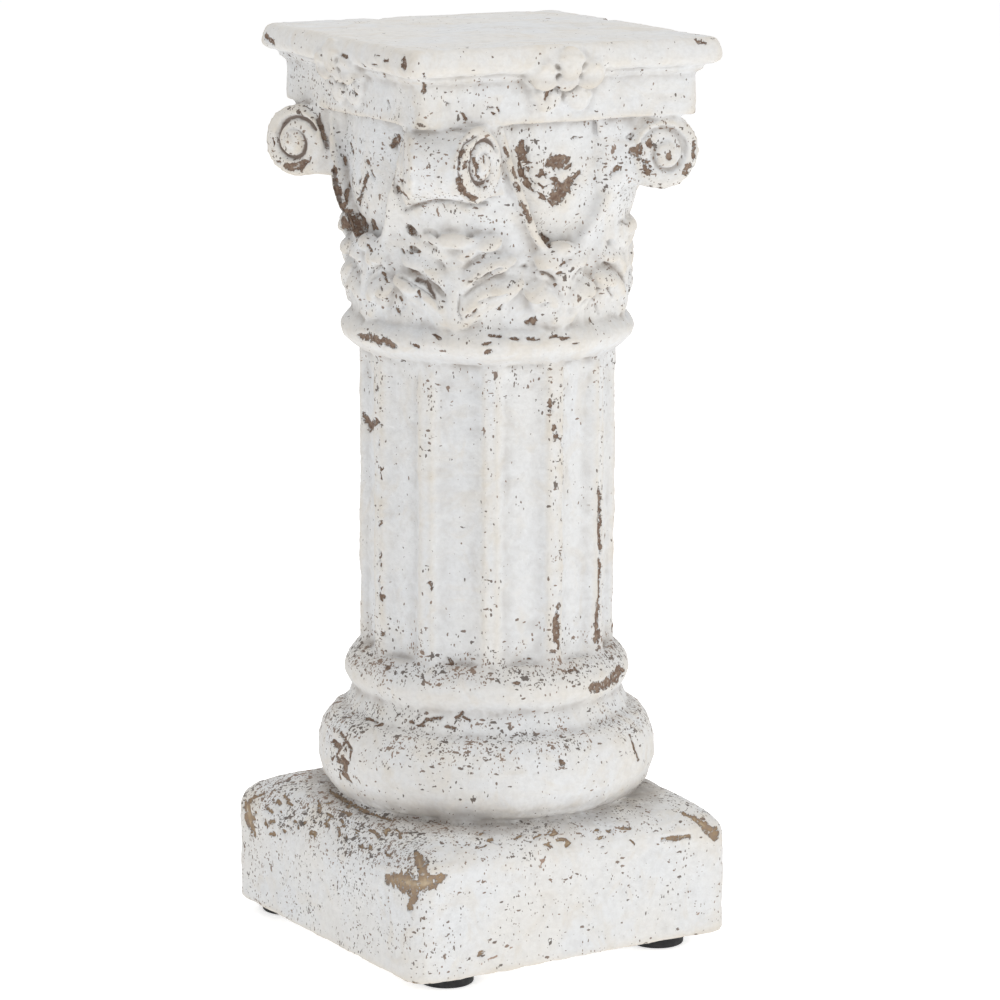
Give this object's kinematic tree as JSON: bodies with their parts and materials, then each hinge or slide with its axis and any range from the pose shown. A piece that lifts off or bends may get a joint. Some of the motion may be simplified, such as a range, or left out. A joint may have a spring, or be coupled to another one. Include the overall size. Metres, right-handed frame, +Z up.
{
  "type": "decorative column",
  "caption": "Small cast cement column with a square plinth, fluted shaft and leaf capital with corner volutes, in a worn lime-wash finish.",
  "frame": {"origin": "on the table under the middle of the plinth", "axes": "+Z up along the column; the plinth's sides lie along X and Y; the pictured corner is the one at -X and -Y"},
  "size_m": [0.1231, 0.121, 0.301],
  "materials": {
    "cement": null,
    "rubber_pad": "matte black rubber"
  },
  "bodies": {
    "root": {"column": "cement", "foot_front_left": "rubber_pad", "foot_front_right": "rubber_pad", "foot_back_left": "rubber_pad", "foot_back_right": "rubber_pad"}
  },
  "joints": []
}
